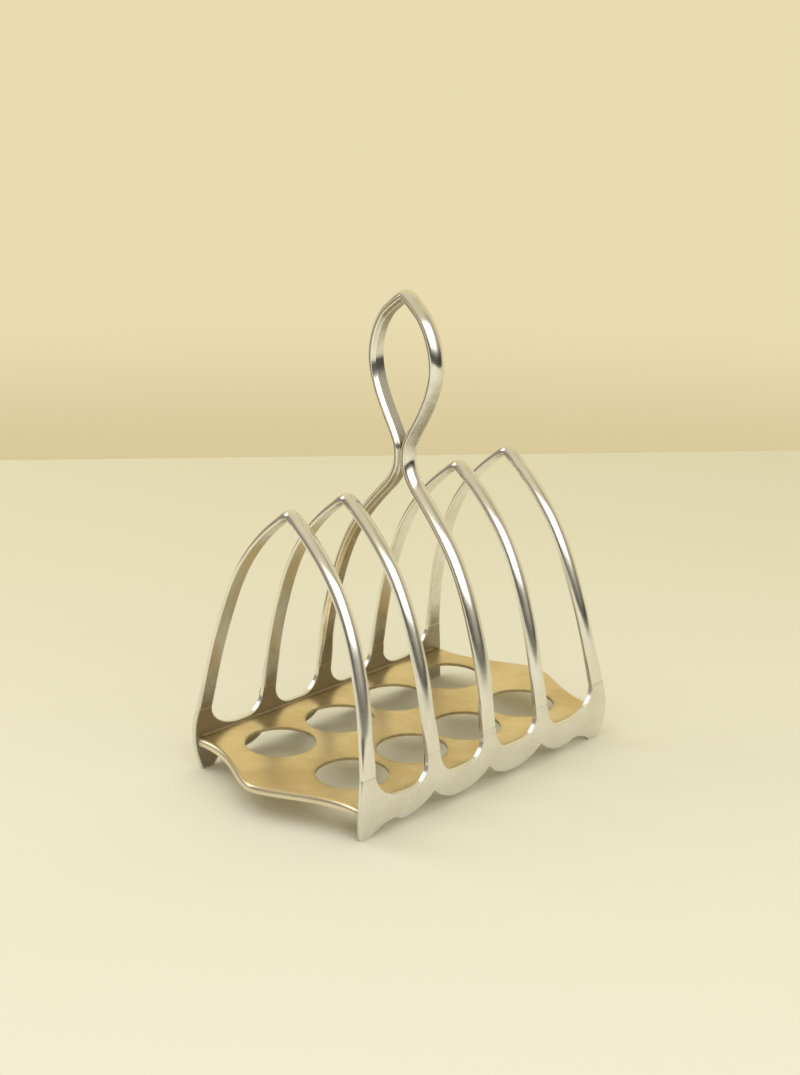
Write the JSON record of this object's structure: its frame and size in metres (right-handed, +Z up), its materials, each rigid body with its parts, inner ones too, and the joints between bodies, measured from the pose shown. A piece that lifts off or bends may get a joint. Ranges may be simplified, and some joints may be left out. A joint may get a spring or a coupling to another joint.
{
  "type": "toast rack",
  "caption": "Free-standing silver-plated toast rack: pierced floor, scalloped side galleries on corner feet, pointed half-round bars as dividers and a loop handle on the middle one.",
  "frame": {"origin": "on the table under the middle of the rack, level with the soles of its feet", "axes": "+Z up through the handle, +X to the rack's right side, -Y to the end that faces the viewer, along the row of bars"},
  "size_m": [0.0804, 0.1402, 0.1602],
  "materials": {
    "floor_silver": "worn silver plate, warm and lightly tarnished",
    "gallery_silver": "satin silver plate",
    "bar_silver": "polished silver plate",
    "handle_silver": "polished silver plate"
  },
  "bodies": {
    "root": {"base_plate": "floor_silver", "left_gallery": "gallery_silver", "right_gallery": "gallery_silver", "front_bar": "bar_silver", "second_bar": "bar_silver", "centre_bar_left": "handle_silver", "centre_bar_right": "handle_silver", "fourth_bar": "bar_silver", "rear_bar": "bar_silver"}
  },
  "joints": []
}
